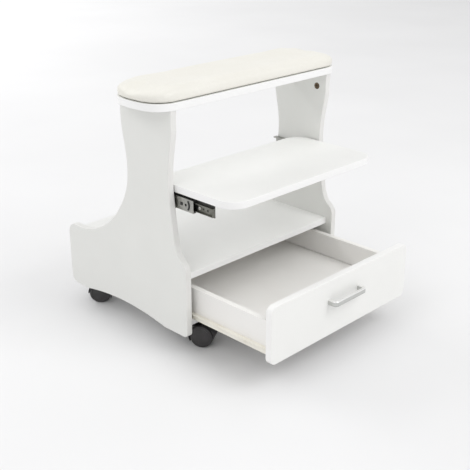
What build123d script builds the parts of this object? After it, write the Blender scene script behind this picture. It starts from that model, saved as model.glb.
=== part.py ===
from build123d import *
from math import cos, radians, sin
import os

# A manicure table: a white board cabinet on four twin-wheel casters, with a padded armrest on top,
# a shelf that pulls out on ball-bearing slides and a drawer that pulls out on roller runners.
# Millimetres, +X to the right, +Y to the back, +Z up, floor at Z 0.
# The drawer and the shelf stand pulled out.

# Driving dimensions
board = 15.0  # thickness of the cabinet boards
body_width = 480.0  # over the side panels
body_depth = 400.0  # side panels, front to back
foot_z = 47.0  # underside of the side panels' feet
panel_top = 522.0  # top edge of the side panels
drawer_open = 216.0  # how far the drawer stands out
shelf_open = 116.0  # how far the pull-out shelf stands out
handle_reach = 21.0  # how far the handle stands off the drawer front

# Side panel outline, as depth behind the front edge and height
kink_z = 194.0  # where the upright front edge turns into the waist
waist_front = 46.0
waist_z = 362.0
waist_back = 173.0
column_front = 32.0
column_back = 186.0
hip_z = 197.0
hip_radius = 24.0  # upper rear corner
heel_radius = 20.0  # lower rear corner
toe_radius = 10.0
panel_rounding = 1.5  # along the panels' edges
arch_from = 72.0
arch_to = 340.0
arch_top = 61.0

# Boards
shelf_top = 183.0  # upper face of the fixed shelf
board_setback = 17.0  # fixed shelf and bottom board behind the front edge
rear_setback = 13.0  # fixed shelf and bottom board ahead of the rear edge
tray_top = 367.0  # upper face of the pull-out shelf
tray_width = 442.0
tray_depth = 228.0
tray_radius = 40.0

# Armrest and the board under it
rest_length = 554.0
rest_depth = 152.0
rest_bow = 15.0  # how far each end bows out
rest_radius = 50.0
rest_centre = 106.0  # its middle, behind the front edge
backing_thickness = 6.0
foam_thickness = 21.0
cover_thickness = 1.2
cover_overhang = 1.5  # the cover bulges this much past the top board

# Drawer
front_width = 440.0
front_bottom = 62.0
front_top = 187.0
front_radius = 14.0
drawer_length = 350.0
drawer_wall = 12.0
side_gap = 13.0  # room for a runner beside the drawer
drawer_bottom_z = 80.2
drawer_top_z = 151.0
panel_z = 95.4  # underside of the drawer's bottom panel
panel_thickness = 4.0
groove = 6.0
groove_play = 1.0  # the bottom panel lies this much under its grooves' upper edge
handle_z = 140.0
handle_centres = 96.0
handle_section = (7.0, 12.0)
handle_bend = 6.0

# Ball-bearing slides of the shelf
sheet = 1.2  # sheet steel of slides and runners
slide_length = 127.0
slide_rear = 179.0  # rear end of the outer member, behind the front edge
slide_z = 333.5
cage_length = 60.0
cage_rear = 145.0  # rear end of the ball cage with the shelf in
ball_radius = 1.4

# Casters
wheel_radius = 25.0
caster_trail = 20.0
hood_half = 22.0
caster_places = {
    "front_left": (-181.0, 41.0, 30.0),
    "front_right": (181.0, 41.0, -12.0),
    "rear_left": (-181.0, 337.0, 225.0),
    "rear_right": (181.0, 337.0, 200.0),
}

# Worked out from them
front = (drawer_open + handle_reach - body_depth) / 2  # Y of the panels' front edge: the part is centred
half_inside = body_width / 2 - board
drawer_face = front - drawer_open  # Y of the drawer front's outer face
drawer_start = drawer_face + board
drawer_half = half_inside - side_gap
tray_rear = front - shelf_open + tray_depth
bottom_z = arch_top  # underside of the bottom board
rest_y = front + rest_centre
board_length = body_depth - board_setback - rear_setback
board_y = front + board_setback + board_length / 2

os.makedirs("parts", exist_ok=True)


def save(part, name):
    """Labels a finished piece and writes its STEP file."""
    part.label = name
    export_step(part, f"parts/{name}.step")


def box(x, y, z, mode=Mode.ADD):
    """A block between two limits on each axis, added to the part being built."""
    with BuildSketch(Plane.XY.offset(z[0]), mode=Mode.PRIVATE) as floor:
        with Locations(((x[0] + x[1]) / 2, (y[0] + y[1]) / 2)):
            Rectangle(x[1] - x[0], y[1] - y[0])
    extrude(floor.sketch, amount=z[1] - z[0], mode=mode)


def drill(origin, direction, radius, depth):
    """A round hole cut from origin along direction."""
    with BuildSketch(Plane(origin=origin, z_dir=direction), mode=Mode.PRIVATE) as mouth:
        Circle(radius)
    extrude(mouth.sketch, amount=depth, mode=Mode.SUBTRACT)


def rod(origin, direction, radius, length):
    """A round bar added from origin along direction."""
    with BuildSketch(Plane(origin=origin, z_dir=direction), mode=Mode.PRIVATE) as end:
        Circle(radius)
    extrude(end.sketch, amount=length)


def pan_screw(head, direction, length, radius=1.75, head_radius=3.4):
    """A pan-head screw: head is the middle of the head's underside, and the shank runs along direction."""
    with BuildPart() as screw:
        rod(head, direction, radius, length)
        back = tuple(-c for c in direction)
        with BuildSketch(Plane(origin=head, z_dir=back), mode=Mode.PRIVATE) as rim:
            Circle(head_radius)
        extrude(rim.sketch, amount=2.0)
        fillet(screw.faces().sort_by(Axis(head, back))[-1].edges(), 1.2)
        top = Vector(*head) + Vector(*back) * 2.0
        with BuildSketch(Plane(origin=top, z_dir=direction), mode=Mode.PRIVATE) as cross:
            Rectangle(3.2, 0.8)
            Rectangle(0.8, 3.2)
        extrude(cross.sketch, amount=1.0, mode=Mode.SUBTRACT)
    return screw.part


def group(pieces):
    """Separate solids that share one node."""
    return Compound(children=pieces)


# Where fasteners go. Depths are measured behind the panels' front edge.
shelf_cam_depths = (76.0, 300.0)
shelf_dowel_depths = (116.0, 260.0)
top_cam_depths = (59.0, 157.0)
top_dowel_depth = 108.0
cam_radius = 7.5
cam_depth = 12.6
cam_from_edge = 30.0  # cam centre from the edge that the bolt enters
bolt_radius = 3.4
dowel_radius = 4.0
dowel_length = 30.0
screw_radius = 1.75
fit = 0.05  # room round a fastener in its hole
board_middles = (shelf_top - board / 2, bottom_z + board / 2)  # of the fixed shelf and bottom board
rear_panel_y = front + body_depth - rear_setback - board / 2
rear_dowel_heights = (100.0, 145.0)
runner_screw_depths = (48.0, 190.0, 340.0)
runner_z = 88.0
slide_screw_depths = (75.0, 155.0)
runner_start = front + 18.0
plate_half = 19.0
plate_hole = 13.5


def side_panel(side):
    """A waisted side panel. side is -1 on the left and +1 on the right."""
    inner = side * half_inside
    inward = (-side, 0, 0)
    outward = (side, 0, 0)
    with BuildPart() as panel:
        with BuildSketch(Plane.YZ.offset(min(inner, inner + side * board))) as outline:
            with BuildLine():
                Line((front, foot_z), (front, kink_z))
                Spline(
                    (front, kink_z),
                    (front + 18, kink_z + 27),
                    (front + 36, kink_z + 84),
                    (front + waist_front, waist_z),
                    (front + 40, waist_z + 76),
                    (front + 33, waist_z + 118),
                    (front + column_front, panel_top),
                    tangents=((0, 1), (-0.08, 1)),
                )
                Line((front + column_front, panel_top), (front + column_back, panel_top))
                Spline(
                    (front + column_back, panel_top),
                    (front + column_back, panel_top - 50),
                    (front + waist_back + 3, panel_top - 107),
                    (front + waist_back, panel_top - 142),
                    (front + waist_back + 5, panel_top - 185),
                    (front + waist_back + 26, panel_top - 229),
                    (front + waist_back + 66, panel_top - 277),
                    (front + waist_back + 125, panel_top - 313),
                    (front + 354, hip_z),
                    tangents=((0.05, -1), (1, 0)),
                    tangent_scalars=(1, 1),
                )
                Line((front + 354, hip_z), (front + body_depth, hip_z))
                Line((front + body_depth, hip_z), (front + body_depth, foot_z))
                Line((front + body_depth, foot_z), (front + arch_to, foot_z))
                ThreePointArc(
                    (front + arch_to, foot_z),
                    (front + (arch_from + arch_to) / 2, arch_top),
                    (front + arch_from, foot_z),
                )
                Line((front + arch_from, foot_z), (front, foot_z))
            make_face()
            rear_corners = outline.vertices().group_by(Axis.X)[-1].sort_by(Axis.Y)
            fillet(rear_corners[0], heel_radius)
            fillet(outline.vertices().group_by(Axis.X)[-1].sort_by(Axis.Y)[-1], hip_radius)
            front_foot = outline.vertices().group_by(Axis.X)[0].sort_by(Axis.Y)[0]
            fillet(front_foot, toe_radius)
        extrude(amount=board)
        rims = panel.faces().filter_by(Axis.X).edges()
        fillet(rims, panel_rounding)
        for depth in top_cam_depths:
            y = front + depth
            drill((inner, y, panel_top - cam_from_edge), outward, cam_radius + fit, cam_depth)
            drill((inner + side * board / 2, y, panel_top), (0, 0, -1), bolt_radius + fit, cam_from_edge)
        drill((inner + side * board / 2, front + top_dowel_depth, panel_top), (0, 0, -1),
              dowel_radius + fit, dowel_length / 2 + 1)
        for z in board_middles:
            for depth in shelf_cam_depths:
                drill((inner, front + depth, z), outward, bolt_radius + fit, 11)
            for depth in shelf_dowel_depths:
                drill((inner, front + depth, z), outward, dowel_radius + fit, 12)
        for z in rear_dowel_heights:
            drill((inner, rear_panel_y, z), outward, dowel_radius + fit, 12)
        for depth in runner_screw_depths:
            drill((inner, front + depth, runner_z), outward, screw_radius + fit, 13)
        for depth in slide_screw_depths:
            drill((inner, front + depth, slide_z), outward, screw_radius + fit, 13)
    return panel.part


for side, hand in ((-1, "left"), (1, "right")):
    save(side_panel(side), f"side_panel_{hand}")


# The board under the armrest, the armrest's backing, foam and cover share one bowed outline

def rest_outline(z, grow=0.0):
    """Long rounded outline with bowed ends, on the plane at z, larger all round by grow."""
    half_length = rest_length / 2 + grow
    half_depth = rest_depth / 2 + grow
    with BuildSketch(Plane.XY.offset(z), mode=Mode.PRIVATE) as outline:
        with BuildLine():
            end = half_length - rest_bow
            corners = [
                (-end, rest_y - half_depth), (end, rest_y - half_depth),
                (end, rest_y + half_depth), (-end, rest_y + half_depth),
            ]
            Line(corners[0], corners[1])
            ThreePointArc(corners[1], (half_length, rest_y), corners[2])
            Line(corners[2], corners[3])
            ThreePointArc(corners[3], (-half_length, rest_y), corners[0])
        make_face()
        fillet(outline.vertices(), rest_radius + grow)
    return outline.sketch


rest_top = panel_top + board
armrest_screw_places = [(sx * x, rest_y + y) for sx in (-1, 1) for x, y in ((70, -45), (195, 45))]

with BuildPart() as top_board:
    extrude(rest_outline(panel_top), amount=board)
    fillet(top_board.faces().filter_by(Axis.Z).edges(), 1.2)
    for side in (-1, 1):
        middle = side * (half_inside + board / 2)
        for depth in top_cam_depths:
            drill((middle, front + depth, panel_top), (0, 0, 1), bolt_radius + fit, 11)
        drill((middle, front + top_dowel_depth, panel_top), (0, 0, 1), dowel_radius + fit, 12)
    for x, y in armrest_screw_places:
        drill((x, y, panel_top), (0, 0, 1), 2.2, board)
save(top_board.part, "top_board")

with BuildPart() as backing:
    extrude(rest_outline(rest_top, -2.0), amount=backing_thickness)
    for x, y in armrest_screw_places:
        drill((x, y, rest_top), (0, 0, 1), 2.0 + fit, 5.5)
save(backing.part, "armrest_backing")

foam_bottom = rest_top + backing_thickness
with BuildPart() as foam:
    extrude(rest_outline(foam_bottom, 0.0), amount=foam_thickness)
    fillet(foam.faces().sort_by(Axis.Z)[-1].edges(), 10)
save(foam.part, "armrest_foam")

cover_height = backing_thickness + foam_thickness + 0.3 + cover_thickness
with BuildPart() as hollow:
    extrude(rest_outline(rest_top, cover_overhang - cover_thickness), amount=cover_height - cover_thickness)
    fillet(hollow.faces().sort_by(Axis.Z)[-1].edges(), 10)
with BuildPart() as cover:
    extrude(rest_outline(rest_top, cover_overhang), amount=cover_height)
    fillet(cover.faces().sort_by(Axis.Z)[-1].edges(), 10 + cover_thickness)
    add(hollow.part, mode=Mode.SUBTRACT)
save(cover.part, "armrest_cover")

armrest_screws = [pan_screw((x, y, panel_top), (0, 0, 1), 20, 2.0, 4.0) for x, y in armrest_screw_places]
save(group(armrest_screws), "armrest_screws")


# Horizontal boards and the rear panel

def end_bores(z, under):
    """Cam pockets, bolt bores and dowel holes at both ends of a horizontal board with its middle at z."""
    for side in (-1, 1):
        inward = (-side, 0, 0)
        end = side * half_inside
        for depth in shelf_cam_depths:
            drill((end, front + depth, z), inward, bolt_radius + fit, cam_from_edge)
            drill((end - side * cam_from_edge, front + depth, under), (0, 0, 1), cam_radius + fit, cam_depth)
        for depth in shelf_dowel_depths:
            drill((end, front + depth, z), inward, dowel_radius + fit, dowel_length - 10)


def flat_board(z):
    """A full-width board whose underside is at z, with its front edges eased."""
    box((-half_inside, half_inside), (board_y - board_length / 2, board_y + board_length / 2), (z, z + board))


with BuildPart() as fixed_shelf:
    flat_board(shelf_top - board)
    fillet(fixed_shelf.edges().filter_by(Axis.X), 1.0)
    end_bores(shelf_top - board / 2, shelf_top - board)
save(fixed_shelf.part, "fixed_shelf")

caster_screw_places = [
    (x + sx * plate_hole, front + depth + sy * plate_hole)
    for x, depth, heading in caster_places.values() for sx in (-1, 1) for sy in (-1, 1)
]
with BuildPart() as bottom_board:
    flat_board(bottom_z)
    fillet(bottom_board.edges().filter_by(Axis.X), 1.0)
    end_bores(bottom_z + board / 2, bottom_z)
    for x, y in caster_screw_places:
        drill((x, y, bottom_z), (0, 0, 1), screw_radius + fit, 11)
save(bottom_board.part, "bottom_board")

with BuildPart() as rear_panel:
    box((-half_inside, half_inside), (rear_panel_y - board / 2, rear_panel_y + board / 2),
        (bottom_z + board, shelf_top - board))
    for side in (-1, 1):
        for z in rear_dowel_heights:
            drill((side * half_inside, rear_panel_y, z), (-side, 0, 0), dowel_radius + fit, dowel_length - 10)
save(rear_panel.part, "rear_panel")


# Knock-down fittings: cam housings, their bolts and the wooden dowels

def cam_housing(origin, direction):
    """A cam housing: a drum with a rim, a cross slot and a mouth for the bolt's head."""
    with BuildPart() as cam:
        rod(origin, direction, cam_radius, cam_depth - 0.3)
        out = tuple(-c for c in direction)
        with BuildSketch(Plane(origin=origin, z_dir=direction), mode=Mode.PRIVATE) as slot:
            Rectangle(9.0, 1.6)
            Rectangle(1.6, 9.0)
        extrude(slot.sketch, amount=3.0, mode=Mode.SUBTRACT)
        fillet(cam.faces().sort_by(Axis(origin, out))[-1].outer_wire().edges(), 0.6)
    return cam.part


def cam_bolt(seat, direction, grip):
    """A cam bolt: the thread goes 10 mm into the first board and the shank runs grip mm to the cam."""
    with BuildPart() as bolt:
        back = tuple(-c for c in direction)
        rod(seat, back, bolt_radius, 10.0)
        rod(seat, direction, bolt_radius - 0.4, grip)
    return bolt.part


def dowel(joint, direction, before, after):
    """A beech dowel across a joint, with its ends eased."""
    with BuildPart() as pin:
        start = Vector(*joint) - Vector(*direction) * before
        rod(tuple(start), direction, dowel_radius, before + after)
        chamfer(pin.edges().filter_by(GeomType.CIRCLE), 0.8)
    return pin.part


cams, bolts, dowels = [], [], []
bolt_grip = cam_from_edge - cam_radius - 0.3
for side in (-1, 1):
    inward = (-side, 0, 0)
    outward = (side, 0, 0)
    middle = side * (half_inside + board / 2)
    for depth in top_cam_depths:
        cams.append(cam_housing((side * half_inside, front + depth, panel_top - cam_from_edge), outward))
        bolts.append(cam_bolt((middle, front + depth, panel_top), (0, 0, -1), bolt_grip))
    dowels.append(dowel((middle, front + top_dowel_depth, panel_top), (0, 0, 1), 14.5, 11.5))
    for z in board_middles:
        for depth in shelf_cam_depths:
            under = (side * (half_inside - cam_from_edge), front + depth, z - board / 2)
            cams.append(cam_housing(under, (0, 0, 1)))
            bolts.append(cam_bolt((side * half_inside, front + depth, z), inward, bolt_grip))
        for depth in shelf_dowel_depths:
            dowels.append(dowel((side * half_inside, front + depth, z), inward, 11.5, 18.5))
    for z in rear_dowel_heights:
        dowels.append(dowel((side * half_inside, rear_panel_y, z), inward, 11.5, 18.5))
save(group(cams), "cam_housings")
save(group(bolts), "cam_bolts")
save(group(dowels), "panel_dowels")


# Pull-out shelf on ball-bearing slides. A slide's section is drawn by its distance from the side panel
# and its height from the slide's centre line; the same section is mirrored for the right-hand slide.

def section_plane(side, start):
    """Plane of a slide's section: X is the distance from the panel, Y is up, and it extrudes along the slide."""
    return Plane(origin=(side * half_inside, start, 0), x_dir=(-side, 0, 0), z_dir=(0, side, 0))


def channel(side, span, z, web, edge, half_height, walls=sheet):
    """A C-shaped steel channel, open away from its web. span is its ends' Y, web and edge its distances."""
    start = span[0] if side > 0 else span[1]
    step = walls if edge > web else -walls
    with BuildSketch(section_plane(side, start), mode=Mode.PRIVATE) as section:
        with BuildLine():
            Polyline(
                (web, z - half_height), (edge, z - half_height), (edge, z - half_height + walls),
                (web + step, z - half_height + walls), (web + step, z + half_height - walls),
                (edge, z + half_height - walls), (edge, z + half_height), (web, z + half_height),
                close=True,
            )
        make_face()
    extrude(section.sketch, amount=span[1] - span[0])


slide_front = slide_rear - slide_length
outer_span = (front + slide_front, front + slide_rear)
inner_setback = 7.0  # the inner member starts this far behind the outer one with the shelf in
inner_span = (outer_span[0] - shelf_open + inner_setback, outer_span[1] - shelf_open)
middle_span = (outer_span[0] - shelf_open / 2, outer_span[1] - shelf_open / 2)
cage_shift = shelf_open * 0.75
cage_span = (front + cage_rear - cage_length - cage_shift, front + cage_rear - cage_shift)
tray_bottom = tray_top - board
middle_web = 3.6  # the middle member's web stands this far from the panel
inner_web = 12.7  # the inner member's web stands this far from the panel
inner_edge = 7.0  # and its edges this far
bracket_wall = 1.5
bracket_foot = 22.0
inner_holes = (18.0, 30.0)
bracket_screws = (20.0, 90.0)
screw_step = 20.0  # from a bracket's shelf screws back to its slide screws
bracket_line = 25.0  # the shelf screws' distance from the side panel


def steel_hole(side, y, z, from_x, radius, depth):
    """A round hole along X through a slide's web, from from_x away from the panel."""
    drill((side * (half_inside - from_x), y, z), (-side, 0, 0), radius, depth)


def slide_outer(side):
    """The slide's outer member, screwed to the side panel, with its edges turned in."""
    with BuildPart() as member:
        channel(side, outer_span, slide_z, 0, 10.0, 17.5)
        for sign in (-1, 1):
            z = sorted((slide_z + sign * 16.3, slide_z + sign * 14.6))
            x = sorted((side * (half_inside - 8.8), side * (half_inside - 10.0)))
            box(x, outer_span, z)
        for depth in slide_screw_depths:
            steel_hole(side, front + depth, slide_z, 0, screw_radius + 0.3, sheet)
    return member.part


def slide_middle(side):
    """The slide's middle member, with two access holes."""
    with BuildPart() as member:
        channel(side, middle_span, slide_z, middle_web, 11.4, 13.2)
        for hole in (22.0, 95.0):
            steel_hole(side, middle_span[0] + hole, slide_z, middle_web, 3.0, sheet)
    return member.part


def slide_inner(side):
    """The slide's inner member, screwed to the shelf's bracket, with a bent front end."""
    with BuildPart() as member:
        channel(side, inner_span, slide_z, inner_web, inner_edge, 9.0)
        x = sorted((side * (half_inside - inner_edge), side * (half_inside - inner_web)))
        box(x, (inner_span[0], inner_span[0] + sheet), (slide_z - 9.0, slide_z + 9.0))
        for hole in inner_holes:
            steel_hole(side, inner_span[0] + hole, slide_z, inner_web - sheet, 2.2, sheet)
        for hole in bracket_screws:
            steel_hole(side, inner_span[0] + hole + screw_step, slide_z, inner_web - sheet, screw_radius + 0.3, sheet)
        web_face = (side * (half_inside - inner_web + sheet), inner_span[0] + 52, slide_z)
        with BuildSketch(Plane(origin=web_face, x_dir=(0, 1, 0), z_dir=(-side, 0, 0)), mode=Mode.PRIVATE) as slot:
            SlotOverall(14, 6)
        extrude(slot.sketch, amount=sheet, mode=Mode.SUBTRACT)
    return member.part


def ball_cage(side):
    """The plastic cage and the steel balls that run between the middle and inner members."""
    row = 10.5  # height of each row of balls from the centre line
    centre_x = side * (half_inside - 8.2)
    spacing = 7.0
    count = 8
    places = [
        (centre_x, cage_span[0] + 5.5 + n * spacing, slide_z + sign * row)
        for n in range(count) for sign in (-1, 1)
    ]
    with BuildPart() as cage:
        channel(side, cage_span, slide_z, 5.2, 10.8, row + 0.4, 0.8)
        for x, y, z in places:
            drill((x, y, z - 1.0), (0, 0, 1), ball_radius + 0.15, 2.0)
    balls = []
    for place in places:
        with BuildPart(Plane(origin=place)) as ball:
            Sphere(ball_radius)
        balls.append(ball.part)
    return group([cage.part] + balls)


def shelf_bracket(side):
    """The steel angle that hangs the slide's inner member under the shelf."""
    near = side * (half_inside - inner_web)
    far = side * (half_inside - inner_web - bracket_wall)
    tip = side * (half_inside - inner_web - bracket_foot)
    with BuildPart() as bracket:
        box(sorted((near, far)), inner_span, (slide_z - 11, tray_bottom))
        box(sorted((far, tip)), inner_span, (tray_bottom - bracket_wall, tray_bottom))
        for hole in bracket_screws:
            y = inner_span[0] + hole
            steel_hole(side, y + screw_step, slide_z, inner_web, screw_radius + 0.3, bracket_wall)
            drill((side * (half_inside - bracket_line), y, tray_bottom), (0, 0, -1),
                  screw_radius + 0.3, bracket_wall)
    return bracket.part


for side, hand in ((-1, "left"), (1, "right")):
    save(slide_outer(side), f"shelf_slide_outer_{hand}")
    save(slide_middle(side), f"shelf_slide_middle_{hand}")
    save(slide_inner(side), f"shelf_slide_inner_{hand}")
    save(ball_cage(side), f"shelf_slide_ball_cage_{hand}")
    save(shelf_bracket(side), f"shelf_bracket_{hand}")

with BuildPart() as tray:
    with BuildSketch(Plane.XY.offset(tray_bottom)):
        with Locations((0, tray_rear - tray_depth / 2)):
            RectangleRounded(tray_width, tray_depth, tray_radius)
    extrude(amount=board)
    fillet(tray.faces().filter_by(Axis.Z).edges(), 1.2)
    for side in (-1, 1):
        for hole in bracket_screws:
            drill((side * (half_inside - bracket_line), inner_span[0] + hole, tray_bottom), (0, 0, 1),
                  screw_radius + fit, 12)
save(tray.part, "pull_out_shelf")

shelf_screws = []
for side in (-1, 1):
    for hole in bracket_screws:
        y = inner_span[0] + hole
        head = (side * (half_inside - bracket_line), y, tray_bottom - bracket_wall)
        shelf_screws.append(pan_screw(head, (0, 0, 1), 12.5))
        head = (side * (half_inside - inner_web + sheet), y + screw_step, slide_z)
        shelf_screws.append(pan_screw(head, (-side, 0, 0), 5.0))
save(group(shelf_screws), "shelf_screws")


# Drawer box

with BuildPart() as drawer_front:
    with BuildSketch(Plane.XZ.offset(-drawer_start)):
        with Locations((0, (front_bottom + front_top) / 2)):
            RectangleRounded(front_width, front_top - front_bottom, front_radius)
    extrude(amount=board)
    fillet(drawer_front.faces().filter_by(Axis.Y).edges(), 1.2)
    groove_half = drawer_half - drawer_wall + groove
    box((-groove_half, groove_half), (drawer_start - groove, drawer_start),
        (panel_z, panel_z + panel_thickness), mode=Mode.SUBTRACT)
    for side in (-1, 1):
        drill((side * handle_centres / 2, drawer_start, handle_z), (0, -1, 0), 2.2, board)
        for z in (112.0, 140.0):
            drill((side * (drawer_half - drawer_wall / 2), drawer_start, z), (0, -1, 0), 3.0 + fit, 10)
save(drawer_front.part, "drawer_front")

runner_span = (drawer_start + 1, drawer_start + 1 + drawer_length)
drawer_runner_screws = (60.0, 290.0)


def drawer_side(side):
    """A drawer side, with a groove for the bottom panel and dowel holes at both ends."""
    outer = side * drawer_half
    inner = side * (drawer_half - drawer_wall)
    with BuildPart() as wall:
        length = (drawer_start, drawer_start + drawer_length)
        box(sorted((outer, inner)), length, (drawer_bottom_z, drawer_top_z))
        fillet(wall.faces().sort_by(Axis.Z)[-1].edges().filter_by(Axis.Y), 0.8)
        box(sorted((inner, inner + side * groove)), length, (panel_z, panel_z + panel_thickness),
            mode=Mode.SUBTRACT)
        for z in (112.0, 140.0):
            middle = side * (drawer_half - drawer_wall / 2)
            drill((middle, drawer_start, z), (0, 1, 0), 3.0 + fit, 16)
            rear = drawer_start + drawer_length - drawer_wall / 2
            drill((inner, rear, z), (side, 0, 0), 3.0 + fit, 8)
        for hole in drawer_runner_screws:
            drill((outer, runner_span[0] + hole, runner_z - 2), (-side, 0, 0), screw_radius + fit, 10)
    return wall.part


with BuildPart() as drawer_back:
    inner_half = drawer_half - drawer_wall
    back_y = drawer_start + drawer_length - drawer_wall
    box((-inner_half, inner_half), (back_y, back_y + drawer_wall), (drawer_bottom_z, drawer_top_z))
    fillet(drawer_back.faces().sort_by(Axis.Z)[-1].edges().filter_by(Axis.X), 0.8)
    box((-inner_half, inner_half), (back_y, back_y + groove), (panel_z, panel_z + panel_thickness),
        mode=Mode.SUBTRACT)
    for side in (-1, 1):
        for z in (112.0, 140.0):
            drill((side * inner_half, back_y + drawer_wall / 2, z), (-side, 0, 0), 3.0 + fit, 16)
save(drawer_back.part, "drawer_back")

with BuildPart() as drawer_panel:
    reach = groove - 0.5
    box((-inner_half - reach, inner_half + reach), (drawer_start - reach, back_y + reach),
        (panel_z + 0.1, panel_z + panel_thickness - groove_play))
save(drawer_panel.part, "drawer_bottom")

drawer_dowels = []
for side in (-1, 1):
    for z in (112.0, 140.0):
        middle = side * (drawer_half - drawer_wall / 2)
        for joint, direction, before, after in (
            ((middle, drawer_start, z), (0, 1, 0), 9.5, 15.5),
            ((side * inner_half, back_y + drawer_wall / 2, z), (-side, 0, 0), 7.5, 15.5),
        ):
            with BuildPart() as pin:
                start = Vector(*joint) - Vector(*direction) * before
                rod(tuple(start), direction, 3.0, before + after)
                chamfer(pin.edges().filter_by(GeomType.CIRCLE), 0.6)
            drawer_dowels.append(pin.part)
save(group(drawer_dowels), "drawer_dowels")

with BuildPart() as handle:
    bar_y = drawer_face - handle_reach + handle_section[0] / 2
    half = handle_centres / 2
    with BuildLine(Plane.XY.offset(handle_z)):
        FilletPolyline(
            (-half, drawer_face), (-half, bar_y), (half, bar_y), (half, drawer_face), radius=handle_bend)
    with BuildSketch(Plane(origin=(-half, drawer_face, handle_z), x_dir=(1, 0, 0), z_dir=(0, -1, 0))):
        RectangleRounded(*handle_section, 2.6)
    sweep()
    for side in (-1, 1):
        drill((side * half, drawer_face, handle_z), (0, -1, 0), 2.0 + fit, 8)
save(handle.part, "drawer_handle")
handle_screws = [pan_screw((side * half, drawer_start, handle_z), (0, -1, 0), 22, 2.0, 4.0) for side in (-1, 1)]
save(group(handle_screws), "handle_screws")


# Roller runners. Each side has a cabinet member with a roller at its front,
# and a drawer member with a roller at its rear.

track_z = 78.6  # upper face of the cabinet member's track
flange_z = 94.0  # underside of the drawer member's flange
roller_radius = 7.4
roller_x = (4.2, 10.2)  # between the two webs, from the panel
front_roller_y = front + 30.0
rear_roller_y = drawer_start + drawer_length - 10.0
drawer_roller_z = track_z + roller_radius + 0.05
cabinet_roller_z = flange_z - roller_radius - 0.05
roller_pin = 2.0


def from_panel(side, near, far):
    """X limits of a piece between two distances from the side panel's inner face."""
    return sorted((side * (half_inside - near), side * (half_inside - far)))


def runner_cabinet(side):
    """The runner member screwed to the side panel, with its roller pin and the bump that stops the drawer."""
    span = (runner_start, runner_start + 350.0)
    with BuildPart() as member:
        box(from_panel(side, 0, sheet), span, (track_z - sheet, track_z + 20))
        box(from_panel(side, sheet, 10.8), span, (track_z - sheet, track_z))
        box(from_panel(side, sheet, 5.0), span, (track_z + 20 - sheet, track_z + 20))
        box(from_panel(side, 4.2, 10.0), (front + 84.5, front + 87.5), (track_z, track_z + 2.6))
        rod((side * (half_inside - sheet), front_roller_y, cabinet_roller_z), (-side, 0, 0), roller_pin, 9.6)
        for depth in runner_screw_depths:
            drill((side * half_inside, front + depth, runner_z), (-side, 0, 0), screw_radius + 0.3, sheet)
    return member.part


def runner_drawer(side):
    """The runner member screwed to the drawer side, wrapping its lower edge, with its roller pin."""
    with BuildPart() as member:
        web = side_gap - sheet
        box(from_panel(side, web, side_gap), runner_span, (drawer_bottom_z - sheet, flange_z + sheet))
        box(from_panel(side, side_gap, side_gap + 9), runner_span, (drawer_bottom_z - sheet, drawer_bottom_z))
        box(from_panel(side, 3.5, web), runner_span, (flange_z, flange_z + sheet))
        rod((side * (half_inside - web), rear_roller_y, drawer_roller_z), (side, 0, 0), roller_pin, 8.0)
        for hole in drawer_runner_screws:
            drill((side * (half_inside - web), runner_span[0] + hole, runner_z - 2), (-side, 0, 0),
                  screw_radius + 0.3, sheet)
    return member.part


def roller(side, y, z):
    """A grooved plastic roller on its pin."""
    near, far = from_panel(side, *roller_x)
    with BuildPart() as wheel:
        rod((near, y, z), (1, 0, 0), roller_radius, far - near)
        fillet(wheel.edges().filter_by(GeomType.CIRCLE), 0.8)
        drill((near, y, z), (1, 0, 0), roller_pin + fit, far - near)
    return wheel.part


for side, hand in ((-1, "left"), (1, "right")):
    save(drawer_side(side), f"drawer_side_{hand}")
    save(runner_cabinet(side), f"drawer_runner_cabinet_{hand}")
    save(runner_drawer(side), f"drawer_runner_{hand}")
    save(roller(side, front_roller_y, cabinet_roller_z), f"cabinet_roller_{hand}")
    save(roller(side, rear_roller_y, drawer_roller_z), f"drawer_roller_{hand}")

runner_screws = []
for side in (-1, 1):
    for hole in drawer_runner_screws:
        head = (side * (half_inside - side_gap + sheet), runner_span[0] + hole, runner_z - 2)
        runner_screws.append(pan_screw(head, (-side, 0, 0), 10, head_radius=3.0))
save(group(runner_screws), "drawer_runner_screws")

cabinet_screws = [pan_screw((x, y, bottom_z - 2), (0, 0, 1), 12) for x, y in caster_screw_places]
for side in (-1, 1):
    for depth in runner_screw_depths:
        head = (side * (half_inside - sheet), front + depth, runner_z)
        cabinet_screws.append(pan_screw(head, (side, 0, 0), 13, head_radius=3.0))
    for depth in slide_screw_depths:
        head = (side * (half_inside - sheet), front + depth, slide_z)
        cabinet_screws.append(pan_screw(head, (side, 0, 0), 13))
save(group(cabinet_screws), "cabinet_screws")


# Casters. A heading turns the caster about its kingpin: at 0 the wheels stand ahead of the pin, towards -Y.

plate_z = bottom_z - 2.0  # underside of the mounting plate
pin_radius = 4.0
axle_radius = 3.0
hood_radius = 28.0
hood_wall = 2.5
web_half = 5.8
wheel_span = (6.5, 21.4)


def caster_directions(heading):
    """Unit vectors along the axle and from the kingpin to the wheels."""
    turn = radians(heading)
    return (cos(turn), sin(turn), 0), (sin(turn), -cos(turn), 0)


def hub_point(x, y, heading, along_axle):
    """A point on the axle's centre line."""
    axle, trail = caster_directions(heading)
    return (
        x + trail[0] * caster_trail + axle[0] * along_axle,
        y + trail[1] * caster_trail + axle[1] * along_axle,
        wheel_radius,
    )


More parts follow.
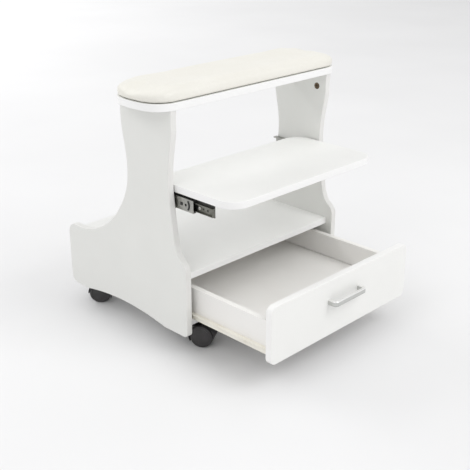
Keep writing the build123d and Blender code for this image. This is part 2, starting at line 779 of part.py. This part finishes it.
def caster_plate(x, y):
    """The mounting plate with its kingpin."""
    with BuildPart() as plate:
        with BuildSketch(Plane.XY.offset(plate_z)):
            with Locations((x, y)):
                RectangleRounded(2 * plate_half, 2 * plate_half, 4)
        extrude(amount=2.0)
        rod((x, y, plate_z - 1.0), (0, 0, 1), 9.0, 1.0)
        rod((x, y, plate_z - 21.0), (0, 0, 1), pin_radius, 20.0)
        for sx in (-1, 1):
            for sy in (-1, 1):
                drill((x + sx * plate_hole, y + sy * plate_hole, plate_z), (0, 0, 1), screw_radius + 0.4, 2.0)
    return plate.part


def caster_hood(x, y, heading):
    """The hood that carries the axle: an arched cover over both wheels and a web between them."""
    axle, trail = caster_directions(heading)
    side_plane = Plane(origin=(x, y, 0), x_dir=trail, z_dir=axle)
    up = 1 if side_plane.y_dir.Z > 0 else -1
    hub = (caster_trail, up * wheel_radius)
    with BuildPart() as hood:
        with BuildSketch(side_plane.offset(-hood_half)):
            with Locations(hub):
                Circle(hood_radius)
                Circle(hood_radius - hood_wall, mode=Mode.SUBTRACT)
            with BuildLine():
                Polyline(hub, (hub[0] + 60, hub[1]), (hub[0] + 60, hub[1] - up * 60),
                         (hub[0] - 60, hub[1] - up * 60), (hub[0] - 60, hub[1] - up * 28), close=True)
            make_face(mode=Mode.SUBTRACT)
        extrude(amount=2 * hood_half)
        fillet(hood.edges().filter_by(GeomType.CIRCLE).group_by(SortBy.RADIUS)[-1], 1.0)
        with BuildSketch(side_plane.offset(-web_half)):
            with BuildLine():
                Polyline((-6, up * 57.7), (-6, up * 36), (hub[0] - 7, up * 18), (hub[0] + 8, up * 20),
                         (hub[0] + 8, up * 33), (hub[0], up * 52), (6, up * 52), (6, up * 57.7), close=True)
            make_face()
        extrude(amount=2 * web_half)
        drill((x, y, 58.0), (0, 0, -1), pin_radius + fit, 22.0)
        drill(hub_point(x, y, heading, -web_half), axle, axle_radius + fit, 2 * web_half)
    return hood.part


def caster_axle(x, y, heading):
    """The steel pin through the hood's web and both wheels."""
    axle = caster_directions(heading)[0]
    length = 40.0
    with BuildPart() as pin:
        rod(hub_point(x, y, heading, -length / 2), axle, axle_radius, length)
        chamfer(pin.edges().filter_by(GeomType.CIRCLE), 0.4)
    return pin.part


def caster_wheel(x, y, heading, end):
    """One wheel of the pair: a dished disc with a rounded tread, a hollow back and a blind bore."""
    axle, trail = caster_directions(heading)
    outward = tuple(end * c for c in axle)
    hub = hub_point(x, y, heading, 0)
    profile_plane = Plane(origin=hub, x_dir=outward, z_dir=trail)
    near, far = wheel_span
    with BuildPart() as wheel:
        with BuildSketch(profile_plane):
            with BuildLine():
                Polyline(
                    (near, axle_radius + fit), (near, 8.0), (near + 7, 8.0), (near + 7, 20.0), (near, 20.0),
                    (near, wheel_radius), (far - 1.0, wheel_radius), (far, wheel_radius - 3.0), (far, 19.5),
                    (far - 0.9, 18.5), (far - 0.4, 0), (near + 14, 0), (near + 14, axle_radius + fit),
                    close=True,
                )
            make_face()
        revolve(axis=Axis(hub, axle))
        rims = wheel.edges().filter_by(GeomType.CIRCLE).group_by(SortBy.RADIUS)
        fillet(rims[-1], 0.9)
    return wheel.part


plates = []
for place, (x, depth, heading) in caster_places.items():
    y = front + depth
    plates.append(caster_plate(x, y))
    save(caster_hood(x, y, heading), f"caster_hood_{place}")
    save(caster_axle(x, y, heading), f"caster_axle_{place}")
    outer_end = -1 if (x < 0) == (cos(radians(heading)) > 0) else 1
    save(caster_wheel(x, y, heading, outer_end), f"caster_wheel_outer_{place}")
    save(caster_wheel(x, y, heading, -outer_end), f"caster_wheel_inner_{place}")
save(group(plates), "caster_plates")
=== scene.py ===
"""Looks of the manicure table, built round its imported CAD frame.

Metres, +X to the right, -Y to the front, +Z up.
"""

import math

import bmesh
import bpy
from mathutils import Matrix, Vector, noise


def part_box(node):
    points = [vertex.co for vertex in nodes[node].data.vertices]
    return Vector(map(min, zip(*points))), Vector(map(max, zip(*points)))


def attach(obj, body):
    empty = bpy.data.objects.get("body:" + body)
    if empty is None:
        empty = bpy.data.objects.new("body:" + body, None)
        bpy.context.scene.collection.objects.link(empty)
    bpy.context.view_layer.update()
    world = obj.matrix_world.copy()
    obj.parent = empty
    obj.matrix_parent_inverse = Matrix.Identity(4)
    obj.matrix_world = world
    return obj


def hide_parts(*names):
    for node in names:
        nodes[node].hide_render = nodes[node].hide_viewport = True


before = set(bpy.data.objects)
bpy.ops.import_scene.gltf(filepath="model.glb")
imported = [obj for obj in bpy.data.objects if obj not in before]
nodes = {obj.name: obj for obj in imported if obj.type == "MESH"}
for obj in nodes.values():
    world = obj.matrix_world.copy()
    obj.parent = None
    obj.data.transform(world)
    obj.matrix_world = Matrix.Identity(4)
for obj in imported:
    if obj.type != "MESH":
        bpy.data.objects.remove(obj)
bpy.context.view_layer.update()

CASTER_PLACES = ("front_left", "front_right", "rear_left", "rear_right")
SIDES = ("left", "right")


# Materials


class Surface:
    """A material under construction: its node tree, its shader and the object's own coordinates."""

    def __init__(self, name, roughness, metallic=0.0):
        self.material = bpy.data.materials.new(name)
        self.material.use_nodes = True
        self.tree = self.material.node_tree
        self.shader = self.tree.nodes["Principled BSDF"]
        self.shader.inputs["Roughness"].default_value = roughness
        self.shader.inputs["Metallic"].default_value = metallic
        self.coords = self.tree.nodes.new("ShaderNodeTexCoord")
        self.bump = None

    def set(self, **sockets):
        """Constant values on the shader's own sockets, with _ for a space in a socket's name."""
        for name, value in sockets.items():
            self.shader.inputs[name.replace("_", " ")].default_value = value
        return self

    def link(self, out, into):
        self.tree.links.new(out, into)

    def stretched(self, scale):
        """Object coordinates scaled by a vector, for a texture that runs along one axis."""
        mapping = self.tree.nodes.new("ShaderNodeMapping")
        mapping.inputs["Scale"].default_value = scale
        self.link(self.coords.outputs["Object"], mapping.inputs["Vector"])
        return mapping.outputs["Vector"]

    def noise(self, scale, detail=3.0, roughness=0.5, vector=None, distortion=0.0):
        """A noise texture's value."""
        node = self.tree.nodes.new("ShaderNodeTexNoise")
        node.inputs["Scale"].default_value = scale
        node.inputs["Detail"].default_value = detail
        node.inputs["Roughness"].default_value = roughness
        node.inputs["Distortion"].default_value = distortion
        self.link(vector or self.coords.outputs["Object"], node.inputs["Vector"])
        return node.outputs["Fac"]

    def cells(self, scale, feature="F1", vector=None):
        """A Voronoi texture's distance."""
        node = self.tree.nodes.new("ShaderNodeTexVoronoi")
        node.feature = feature
        node.inputs["Scale"].default_value = scale
        self.link(vector or self.coords.outputs["Object"], node.inputs["Vector"])
        return node.outputs["Distance"]

    def ramp(self, value, low, high, start=0.35, end=0.65):
        """A colour that runs from low to high as value goes from start to end."""
        node = self.tree.nodes.new("ShaderNodeValToRGB")
        stops = node.color_ramp.elements
        stops[0].position, stops[1].position = start, end
        stops[0].color = (*low, 1.0)
        stops[1].color = (*high, 1.0)
        self.link(value, node.inputs["Fac"])
        return node.outputs["Color"]

    def remap(self, value, low, high, start=0.3, end=0.7):
        """A number that runs from low to high as value goes from start to end."""
        node = self.tree.nodes.new("ShaderNodeMapRange")
        node.inputs["From Min"].default_value = start
        node.inputs["From Max"].default_value = end
        node.inputs["To Min"].default_value = low
        node.inputs["To Max"].default_value = high
        self.link(value, node.inputs["Value"])
        return node.outputs["Result"]

    def mix(self, factor, a, b):
        """Colour a where factor is 0 and b where it is 1."""
        node = self.tree.nodes.new("ShaderNodeMix")
        node.data_type = "RGBA"
        self.link(factor, node.inputs["Factor"])
        for colour, socket in ((a, node.inputs["A"]), (b, node.inputs["B"])):
            if isinstance(colour, tuple):
                socket.default_value = (*colour, 1.0)
            else:
                self.link(colour, socket)
        return node.outputs["Result"]

    def colour(self, value):
        self.link(value, self.shader.inputs["Base Color"])
        return self

    def rough(self, value):
        self.link(value, self.shader.inputs["Roughness"])
        return self

    def raise_by(self, height, depth, strength=1.0):
        """Adds height times depth, in metres, to the surface's bumps."""
        node = self.tree.nodes.new("ShaderNodeBump")
        node.inputs["Strength"].default_value = strength
        node.inputs["Distance"].default_value = depth
        self.link(height, node.inputs["Height"])
        if self.bump is not None:
            self.link(self.bump, node.inputs["Normal"])
        self.bump = node.outputs["Normal"]
        self.link(self.bump, self.shader.inputs["Normal"])
        return self


def edge_mask(surface, axis):
    """1 on the faces that look along axis, and 0 on the board's edges."""
    split = surface.tree.nodes.new("ShaderNodeSeparateXYZ")
    surface.link(surface.coords.outputs["Normal"], split.inputs["Vector"])
    size = surface.tree.nodes.new("ShaderNodeMath")
    size.operation = "ABSOLUTE"
    surface.link(split.outputs[axis], size.inputs[0])
    return surface.remap(size.outputs["Value"], 0.0, 1.0, 0.55, 0.75)


def lacquered_board(name, face_axis, face_tone, band_tone):
    """White board: faintly mottled faces with a fine orange peel, and smooth banded edges. face_tone and
    band_tone carry painted light and shade as well as the lacquer's colour: each board's copy is made
    lighter or darker by which way it faces, on its faces and on its edge band.
    """
    s = Surface(name, 0.4)
    s.set(Coat_Weight=0.12, Coat_Roughness=0.3, Specular_IOR_Level=0.45)
    mottle = s.noise(9.0, detail=5.0, roughness=0.6)
    face = s.ramp(mottle, tuple(0.975 * c for c in face_tone), face_tone, 0.3, 0.7)
    band = s.ramp(s.noise(12.0, detail=3.0), tuple(0.985 * c for c in band_tone), band_tone, 0.3, 0.7)
    s.colour(s.mix(edge_mask(s, face_axis), band, face))
    s.rough(s.remap(s.noise(26.0, detail=4.0), 0.34, 0.47))
    s.raise_by(s.noise(420.0, detail=2.0), 0.00012, 0.5)
    s.raise_by(s.noise(7.0, detail=1.0), 0.0006, 0.25)
    return s.material


def melamine_board(name):
    """The drawer box: matte white board with a fine printed speckle."""
    s = Surface(name, 0.5)
    speck = s.noise(700.0, detail=2.0, roughness=0.7)
    cloud = s.noise(6.0, detail=4.0)
    base = s.ramp(cloud, (0.83, 0.815, 0.79), (0.87, 0.858, 0.836), 0.3, 0.7)
    s.colour(s.mix(s.remap(speck, 0.0, 0.22, 0.56, 0.75), base, (0.66, 0.65, 0.62)))
    s.rough(s.remap(s.noise(40.0), 0.42, 0.56))
    s.raise_by(speck, 0.00006, 0.4)
    return s.material


def leatherette(name):
    """Ivory leatherette: pebbled grain, fine creases and a soft sheen."""
    s = Surface(name, 0.46)
    s.set(Sheen_Weight=0.12, Sheen_Roughness=0.4, Specular_IOR_Level=0.42)
    bent = s.stretched((1.0, 1.0, 1.0))
    pebble = s.cells(640.0, feature="SMOOTH_F1", vector=bent)
    crease = s.noise(240.0, detail=4.0, roughness=0.65, distortion=0.6)
    cloud = s.noise(5.5, detail=4.0, roughness=0.6)
    base = s.ramp(cloud, (0.775, 0.758, 0.693), (0.812, 0.799, 0.748), 0.3, 0.7)
    s.colour(s.mix(s.remap(pebble, 0.0, 0.16, 0.35, 0.75), base, (0.66, 0.63, 0.545)))
    s.rough(s.remap(crease, 0.38, 0.56))
    s.raise_by(pebble, 0.00030, 0.55)
    s.raise_by(crease, 0.00022, 0.4)
    return s.material


def metal(name, low, high, roughness, brush, grain_depth, spangle=0.0, painted_shade_below=None):
    """Bare or plated metal with brush marks along one axis.

    brush scales the marks, small along their length. The optional darker tone is painted on faces that look
    down, as painted shade under the part.
    """
    s = Surface(name, roughness[0], metallic=1.0)
    marks = s.noise(1.0, detail=4.0, roughness=0.6, vector=s.stretched(brush))
    tone = s.ramp(s.noise(45.0, detail=3.0), low, high, 0.3, 0.7)
    if spangle:
        tone = s.mix(s.remap(s.cells(170.0), 0.0, spangle, 0.2, 0.8), tone, low)
    # Painted shade: faces that look down are mixed towards the darker tone.
    if painted_shade_below:
        split = s.tree.nodes.new("ShaderNodeSeparateXYZ")
        s.link(s.coords.outputs["Normal"], split.inputs["Vector"])
        tone = s.mix(s.remap(split.outputs["Z"], 1.0, 0.0, -0.15, 0.45), tone, painted_shade_below)
    s.colour(tone)
    s.rough(s.remap(marks, *roughness))
    s.raise_by(marks, grain_depth, 0.5)
    return s.material


def moulded_plastic(name, low, high, roughness, dust=0.0, shine=0.5):
    """Moulded plastic with a fine spark-eroded texture, and some dust in it."""
    s = Surface(name, roughness[0])
    s.set(Specular_IOR_Level=shine)
    fine = s.noise(900.0, detail=2.0, roughness=0.7)
    tone = s.ramp(s.noise(50.0, detail=4.0), low, high, 0.3, 0.7)
    if dust:
        patches = s.remap(s.noise(22.0, detail=6.0, roughness=0.7), 0.0, dust, 0.5, 0.8)
        tone = s.mix(patches, tone, (0.35, 0.34, 0.32))
    s.colour(tone)
    s.rough(s.remap(s.noise(80.0, detail=3.0), *roughness))
    s.raise_by(fine, 0.00008, 0.5)
    return s.material


def powder_coat(name, low, high):
    """Powder-coated steel with its orange peel."""
    s = Surface(name, 0.38)
    s.set(Coat_Weight=0.2, Coat_Roughness=0.25)
    s.colour(s.ramp(s.noise(35.0, detail=4.0), low, high, 0.3, 0.7))
    s.rough(s.remap(s.noise(90.0), 0.3, 0.44))
    s.raise_by(s.noise(650.0, detail=2.0), 0.00015, 0.6)
    return s.material


def bare_wood(name, low, high, rings):
    """Bare wood with growth lines."""
    s = Surface(name, 0.62)
    grain = s.noise(1.0, detail=6.0, roughness=0.65, vector=s.stretched(rings), distortion=0.8)
    s.colour(s.ramp(grain, low, high, 0.35, 0.65))
    s.raise_by(grain, 0.0002, 0.5)
    return s.material


def open_foam(name):
    """Open-cell foam."""
    s = Surface(name, 0.9)
    pores = s.cells(420.0)
    s.colour(s.ramp(pores, (0.55, 0.52, 0.38), (0.86, 0.83, 0.68), 0.1, 0.5))
    s.raise_by(pores, 0.0008, 0.8)
    return s.material


ALONG_X = (18.0, 1200.0, 1200.0)  # brush marks that run along X
ALONG_Y = (900.0, 14.0, 900.0)
ALL_ROUND = (300.0, 300.0, 300.0)

# One white lacquer in three copies whose face and edge tones differ as painted light and shade: darker on
# the upright side panels, lighter on the level boards and on the boards that face the front.
upright_board_painted_shade = lacquered_board("board_upright_painted_shade", "X", (0.762, 0.765, 0.739), (0.775, 0.77, 0.75))
level_board_painted_light = lacquered_board("board_level_painted_light", "Z", (0.85, 0.852, 0.835), (0.90, 0.898, 0.893))
front_board_painted_light = lacquered_board("board_front_painted_light", "Y", (0.87, 0.87, 0.85), (0.90, 0.895, 0.885))
drawer_melamine = melamine_board("board_drawer")
cushion_leather = leatherette("leatherette_ivory")
zinc = metal(
    "zinc_plate", (0.30, 0.30, 0.28), (0.48, 0.48, 0.45), (0.26, 0.42), ALONG_Y, 0.00006, spangle=0.5)
# A darker copy of the zinc plate: painted shade for the inner slide members, which lie in shadow under the
# shelf.
shaded_inner_zinc = metal(
    "zinc_painted_shade", (0.15, 0.15, 0.13), (0.30, 0.30, 0.27), (0.3, 0.48), ALONG_Y, 0.00008, spangle=0.6)
screw_steel = metal(
    "screw_steel", (0.52, 0.51, 0.48), (0.68, 0.67, 0.64), (0.28, 0.42), ALL_ROUND, 0.00005)
# The handle's downward faces get a painted shade.
satin_handle = metal(
    "handle_satin", (0.86, 0.86, 0.85), (0.93, 0.93, 0.92), (0.24, 0.36), ALONG_X, 0.00004,
    painted_shade_below=(0.50, 0.51, 0.49))
bronzed_zinc = metal(
    "cam_bronze", (0.10, 0.075, 0.05), (0.22, 0.17, 0.12), (0.35, 0.55), (260.0, 260.0, 260.0), 0.0001)
cream_enamel = powder_coat("runner_cream", (0.84, 0.81, 0.72), (0.89, 0.87, 0.79))
# Near-black as painted shade: the brackets stand for the shadowed gap between the slides and the shelf's
# underside.
bracket_shadow_black = powder_coat("bracket_painted_shade", (0.018, 0.018, 0.017), (0.030, 0.030, 0.028))
nylon = moulded_plastic("roller_nylon", (0.72, 0.71, 0.66), (0.80, 0.79, 0.75), (0.38, 0.5))
black_plastic = moulded_plastic(
    "caster_black", (0.009, 0.008, 0.009), (0.016, 0.014, 0.015), (0.26, 0.4), dust=0.03, shine=0.22)
tyre_plastic = moulded_plastic(
    "caster_wheel_black", (0.034, 0.032, 0.033), (0.050, 0.047, 0.048), (0.42, 0.6), dust=0.12)
clip_plastic = moulded_plastic("slide_black", (0.012, 0.012, 0.012), (0.024, 0.024, 0.024), (0.35, 0.5))
plywood = bare_wood("plywood_birch", (0.52, 0.38, 0.22), (0.72, 0.58, 0.40), (9.0, 60.0, 700.0))
beech = bare_wood("beech_dowel", (0.60, 0.42, 0.26), (0.76, 0.60, 0.42), (30.0, 500.0, 500.0))
foam = open_foam("foam_cream")


def paint(material, *names):
    """Gives a CAD node its material, and leaves its mesh as it is."""
    for name in names:
        slots = nodes[name].data.materials
        for index in range(len(slots)):
            slots[index] = material
        if not len(slots):
            slots.append(material)


# Each board gets the copy painted lighter or darker for the way it faces.
paint(upright_board_painted_shade, "side_panel_left", "side_panel_right")
paint(level_board_painted_light, "top_board", "fixed_shelf", "bottom_board", "pull_out_shelf")
paint(front_board_painted_light, "drawer_front", "rear_panel")
paint(drawer_melamine, "drawer_side_left", "drawer_side_right", "drawer_back", "drawer_bottom")
paint(plywood, "armrest_backing")
paint(foam, "armrest_foam")
paint(bronzed_zinc, "cam_housings")
paint(satin_handle, "drawer_handle")
paint(beech, "panel_dowels", "drawer_dowels")
paint(screw_steel, "cam_bolts", "armrest_screws", "cabinet_screws", "handle_screws")
paint(screw_steel, "shelf_screws", "caster_plates")
paint(cream_enamel, "drawer_runner_screws")
for side in SIDES:
    paint(zinc, f"shelf_slide_outer_{side}", f"shelf_slide_middle_{side}")
    # Inner members: the darker zinc copy, as painted shade.
    paint(shaded_inner_zinc, f"shelf_slide_inner_{side}")
    # Brackets: near-black, as painted shade.
    paint(bracket_shadow_black, f"shelf_bracket_{side}")
    paint(clip_plastic, f"shelf_slide_ball_cage_{side}")
    paint(cream_enamel, f"drawer_runner_{side}", f"drawer_runner_cabinet_{side}")
    paint(nylon, f"cabinet_roller_{side}", f"drawer_roller_{side}")
for place in CASTER_PLACES:
    paint(black_plastic, f"caster_hood_{place}")
    paint(tyre_plastic, f"caster_wheel_outer_{place}", f"caster_wheel_inner_{place}")
    paint(screw_steel, f"caster_axle_{place}")


# Armrest cushion: the foam's shape, stretched to the cover's box, swollen as cloth and drawn in at its seam

CUSHION_SHRINK = 0.0005  # the pad starts this much inside the cover and swells out to it
CUSHION_VOXEL = 0.005
CUSHION_PRESSURE = 4.0
CUSHION_CAP = 0.004  # the furthest that a point may swell
SHOULDER_WIDTH = 0.068  # the top falls away over this width, towards its rim
SHOULDER_DROP = 0.17  # by this share of its height
END_WIDTH = 0.10  # and over this width towards each end
END_DROP = 0.08
PLAN_RADIUS = 0.050  # corners of the cushion's outline
PLAN_BOW = 0.015  # how far its ends bow out
SEAM_TUCK = 0.0009  # how far the leatherette turns in above the top board
SEAM_HEIGHT = 0.0025
TUCK_FROM = 0.02  # points nearer the cushion's middle than this stay in place
WAVE_HEIGHT = 0.0005  # slight unevenness of the stretched top
WAVES = 14.0
RELAX_BEFORE = 10
RELAX_AFTER = 6
SWELL_FRAMES = 20


def new_object(name, mesh):
    made = bpy.data.objects.new(name, mesh)
    bpy.context.scene.collection.objects.link(made)
    return made


def apply_modifiers(piece):
    """Puts a piece's modifiers into its mesh."""
    shown = piece.evaluated_get(bpy.context.evaluated_depsgraph_get())
    mesh = bpy.data.meshes.new_from_object(shown)
    piece.modifiers.clear()
    piece.data = mesh


def relax(piece, iterations):
    smooth = piece.modifiers.new("smooth", "SMOOTH")
    smooth.factor = 0.5
    smooth.iterations = iterations
    apply_modifiers(piece)


def swell(piece, still_below):
    """Blows the piece up a little as cloth. Points below still_below stay where they are."""
    held = piece.vertex_groups.new(name="held")
    held.add([v.index for v in piece.data.vertices if v.co.z < still_below], 1.0, "REPLACE")
    start = [v.co.copy() for v in piece.data.vertices]
    cloth = piece.modifiers.new("cloth", "CLOTH")
    cloth.settings.quality = 6
    cloth.settings.mass = 0.3
    cloth.settings.tension_stiffness = 18.0
    cloth.settings.compression_stiffness = 18.0
    cloth.settings.bending_stiffness = 1.5
    cloth.settings.use_pressure = True
    cloth.settings.uniform_pressure_force = CUSHION_PRESSURE
    cloth.settings.effector_weights.gravity = 0.0
    cloth.settings.vertex_group_mass = "held"
    cloth.point_cache.frame_start = 1
    cloth.point_cache.frame_end = SWELL_FRAMES
    for step in range(1, SWELL_FRAMES + 1):
        bpy.context.scene.frame_set(step)
    apply_modifiers(piece)
    for vertex, was in zip(piece.data.vertices, start):
        moved = vertex.co - was
        if moved.length > CUSHION_CAP:
            vertex.co = was + moved.normalized() * CUSHION_CAP
    bpy.context.scene.frame_set(1)


def rim_distance(x, y, half_length, half_depth):
    """How far a point of the cushion's plan lies inside its rounded, bowed outline."""
    across = min(1.0, abs(y) / half_depth)
    reach = half_length - PLAN_BOW * across * across - PLAN_RADIUS
    corner = Vector((abs(x) - reach, abs(y) - half_depth + PLAN_RADIUS))
    outside = Vector((max(corner.x, 0.0), max(corner.y, 0.0))).length
    return PLAN_RADIUS - outside - min(max(corner.x, corner.y), 0.0)


def armrest_cushion():
    """The leatherette cushion on the top board."""
    low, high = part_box("armrest_cover")
    foam_low, foam_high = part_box("armrest_foam")
    target_low = low + Vector((CUSHION_SHRINK, CUSHION_SHRINK, 0.0003))
    target_high = high - Vector((CUSHION_SHRINK, CUSHION_SHRINK, CUSHION_SHRINK))
    middle = (low + high) / 2
    half = (high - low) / 2
    mesh = nodes["armrest_foam"].data.copy()
    cushion = new_object("armrest_cushion", mesh)
    for vertex in mesh.vertices:
        share = [(vertex.co[i] - foam_low[i]) / (foam_high[i] - foam_low[i]) for i in range(3)]
        vertex.co = Vector([target_low[i] + share[i] * (target_high[i] - target_low[i]) for i in range(3)])
    remesh = cushion.modifiers.new("remesh", "REMESH")
    remesh.mode = "VOXEL"
    remesh.voxel_size = CUSHION_VOXEL
    apply_modifiers(cushion)
    for vertex in cushion.data.vertices:
        co = vertex.co
        inset = rim_distance(co.x - middle.x, co.y - middle.y, half.x, half.y)
        fall = max(0.0, 1.0 - max(inset, 0.0) / SHOULDER_WIDTH)
        end_fall = max(0.0, 1.0 - (half.x - abs(co.x - middle.x)) / END_WIDTH)
        co.z = low.z + (co.z - low.z) * (1.0 - SHOULDER_DROP * fall * fall - END_DROP * end_fall * end_fall)
    relax(cushion, RELAX_BEFORE)
    swell(cushion, low.z + SEAM_HEIGHT)
    relax(cushion, RELAX_AFTER)
    for vertex in cushion.data.vertices:
        co = vertex.co
        share = min(1.0, max(0.0, (co.z - low.z) / (high.z - low.z)))
        co.z += WAVE_HEIGHT * noise.noise(co * WAVES) * share
        tuck = max(0.0, 1.0 - (co.z - low.z) / SEAM_HEIGHT)
        inward = Vector((middle.x - co.x, middle.y - co.y, 0.0))
        if tuck > 0.0 and inward.length > TUCK_FROM:
            co.xy += (inward.normalized() * SEAM_TUCK * tuck * tuck).xy
        co.z = min(max(co.z, low.z + 0.0003), high.z)
    subdivide = cushion.modifiers.new("subdivide", "SUBSURF")
    subdivide.levels = 1
    subdivide.render_levels = 1
    apply_modifiers(cushion)
    for polygon in cushion.data.polygons:
        polygon.use_smooth = True
    cushion.data.materials.clear()
    cushion.data.materials.append(cushion_leather)
    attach(cushion, "cabinet")
    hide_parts("armrest_cover", "armrest_foam", "armrest_backing")


armrest_cushion()


# Black end pieces of the slides' middle members, and black marks on their faces as painted shade

CLIP_LENGTH = 0.006
CLIP_WIDTH = 0.0082  # from the member's outer face
CLIP_GAP = 0.0004  # to the inner member
MEMBER_WALL = 0.0013
CLIP_PROUD = 0.0006  # how far the moulding stands past the steel's front end
CATCH_THICKNESS = 0.0011
CATCH_HALF = 0.0095  # half the height of the bowed strip
CATCH_WIDTH = 0.0032
CATCH_BOW = 0.0035  # how far its ends lie behind its middle
CATCH_SETBACK = 0.0105  # from the middle member's front end
CATCH_STEPS = 8  # blocks that make up the bow
CATCH_SUNK = 0.0002  # how deep it sits in the member's face
HOLE_SHADE = 0.0060  # side of the black square, painted shade standing for the member's square hole
HOLE_SHADE_SETBACK = 0.021  # from the bowed strip's front


def block(mesh, low, high):
    """A block between two corners, added to a bmesh."""
    places = [(x, y, z) for x in (low[0], high[0]) for y in (low[1], high[1]) for z in (low[2], high[2])]
    corners = [mesh.verts.new(place) for place in places]
    for face in ((0, 1, 3, 2), (4, 6, 7, 5), (0, 4, 5, 1), (2, 3, 7, 6), (0, 2, 6, 4), (1, 5, 7, 3)):
        mesh.faces.new([corners[i] for i in face])


def slide_end_piece(side):
    """The moulded end of a middle member, with a waist that lets the inner member through."""
    low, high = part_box(f"shelf_slide_middle_{side}")
    inner_low, inner_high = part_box(f"shelf_slide_inner_{side}")
    inward = 1.0 if side == "left" else -1.0
    panel_side = low.x if side == "left" else high.x
    mesh = bmesh.new()
    front = low.y - CLIP_PROUD
    upper = (inner_high.z + CLIP_GAP, high.z - MEMBER_WALL)
    lower = (low.z + MEMBER_WALL, inner_low.z - CLIP_GAP)
    for bottom, top in (upper, lower):
        near = panel_side + inward * MEMBER_WALL
        far = panel_side + inward * CLIP_WIDTH
        block(mesh, (min(near, far), front, bottom), (max(near, far), front + CLIP_LENGTH, top))
    bmesh.ops.recalc_face_normals(mesh, faces=mesh.faces)
    data = bpy.data.meshes.new(f"slide_end_piece_{side}")
    mesh.to_mesh(data)
    mesh.free()
    piece = new_object(f"slide_end_piece_{side}", data)
    rounding = piece.modifiers.new("rounding", "BEVEL")
    rounding.width = 0.0003
    rounding.segments = 2
    data.materials.append(clip_plastic)
    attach(piece, f"slide_middle_{side}")


def slide_catch_shade(side):
    """Black marks on a middle member's outer face, as painted shade: a bowed strip where the shadow line of
    the pale bowed spring lies, beside a square for the shade inside the member's square hole.
    """
    low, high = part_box(f"shelf_slide_middle_{side}")
    outward = -1.0 if side == "left" else 1.0
    face = low.x if side == "left" else high.x
    middle_z = (low.z + high.z) / 2
    mesh = bmesh.new()
    x = sorted((face + outward * CATCH_THICKNESS, face - outward * CATCH_SUNK))
    for step in range(CATCH_STEPS):
        share = [(step + end) / CATCH_STEPS * 2.0 - 1.0 for end in (0, 1)]
        bow = CATCH_BOW * (sum(share) / 2.0) ** 2
        y = low.y + CATCH_SETBACK + bow
        ends = [middle_z + part * CATCH_HALF for part in share]
        block(mesh, (x[0], y, ends[0]), (x[1], y + CATCH_WIDTH, ends[1]))
    hole_shade_y = low.y + CATCH_SETBACK + HOLE_SHADE_SETBACK
    block(mesh, (x[0], hole_shade_y, middle_z - HOLE_SHADE / 2), (x[1], hole_shade_y + HOLE_SHADE, middle_z + HOLE_SHADE / 2))
    bmesh.ops.recalc_face_normals(mesh, faces=mesh.faces)
    data = bpy.data.meshes.new(f"slide_catch_shade_{side}")
    mesh.to_mesh(data)
    mesh.free()
    piece = new_object(f"slide_catch_shade_{side}", data)
    # Black as painted shade.
    data.materials.append(clip_plastic)
    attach(piece, f"slide_middle_{side}")


for side in SIDES:
    slide_end_piece(side)
    slide_catch_shade(side)


# Studio

FLOOR_REACH = 24.0


def studio_floor():
    """A pale, faintly uneven floor that reaches past every view."""
    mesh = bpy.data.meshes.new("studio_floor")
    corners = [(x * FLOOR_REACH, y * FLOOR_REACH, 0) for x, y in ((-1, -1), (1, -1), (1, 1), (-1, 1))]
    mesh.from_pydata(corners, [], [(0, 1, 2, 3)])
    floor = new_object("studio_floor", mesh)
    s = Surface("studio_paper", 0.75)
    s.set(Specular_IOR_Level=0.2)
    s.colour(s.ramp(s.noise(1.4, detail=3.0), (0.80, 0.80, 0.805), (0.82, 0.82, 0.825)))
    mesh.materials.append(s.material)


def softbox(name, place, aim, size, power, colour=(1.0, 1.0, 1.0)):
    """A square area light at place that points at aim."""
    light = bpy.data.lights.new(name, "AREA")
    light.shape = "RECTANGLE"
    light.size, light.size_y = size
    light.energy = power
    light.color = colour
    lamp = bpy.data.objects.new(name, light)
    lamp.location = place
    lamp.rotation_euler = (Vector(place) - Vector(aim)).to_track_quat("Z", "Y").to_euler()
    bpy.context.scene.collection.objects.link(lamp)


def sky(strength):
    world = bpy.data.worlds.new("studio_white")
    world.use_nodes = True
    world.node_tree.nodes["Background"].inputs["Color"].default_value = (1.0, 1.0, 1.0, 1.0)
    world.node_tree.nodes["Background"].inputs["Strength"].default_value = strength
    bpy.context.scene.world = world


studio_floor()
sky(0.785)
softbox("key_softbox", (0.9, -2.6, 3.0), (0.0, 0.0, 0.2), (2.2, 2.2), 47.0)
softbox("fill_softbox", (-2.6, -0.3, 3.0), (0.0, 0.0, 0.4), (1.6, 1.6), 14.0)
softbox("backdrop_softbox", (-2.0, 6.5, 5.0), (-2.0, 8.0, 0.0), (7.0, 4.0), 440.0)


# Camera: the photograph's viewing angle

AZIMUTH = math.radians(-45.37)
ELEVATION = math.radians(22.53)
DISTANCE = 1.945
LENS = 66.74
AIM = Vector((-0.0201, -0.00335, 0.1919))


def photo_camera():
    data = bpy.data.cameras.new("photo_camera")
    data.sensor_width = 36.0
    data.lens = LENS
    data.clip_end = 60.0
    camera = bpy.data.objects.new("photo_camera", data)
    level = math.cos(ELEVATION)
    back = Vector((math.sin(AZIMUTH) * level, -math.cos(AZIMUTH) * level, math.sin(ELEVATION)))
    camera.location = AIM + back * DISTANCE
    camera.rotation_euler = back.to_track_quat("Z", "Y").to_euler()
    bpy.context.scene.collection.objects.link(camera)
    bpy.context.scene.camera = camera


photo_camera()
bpy.context.scene.view_settings.view_transform = "Standard"
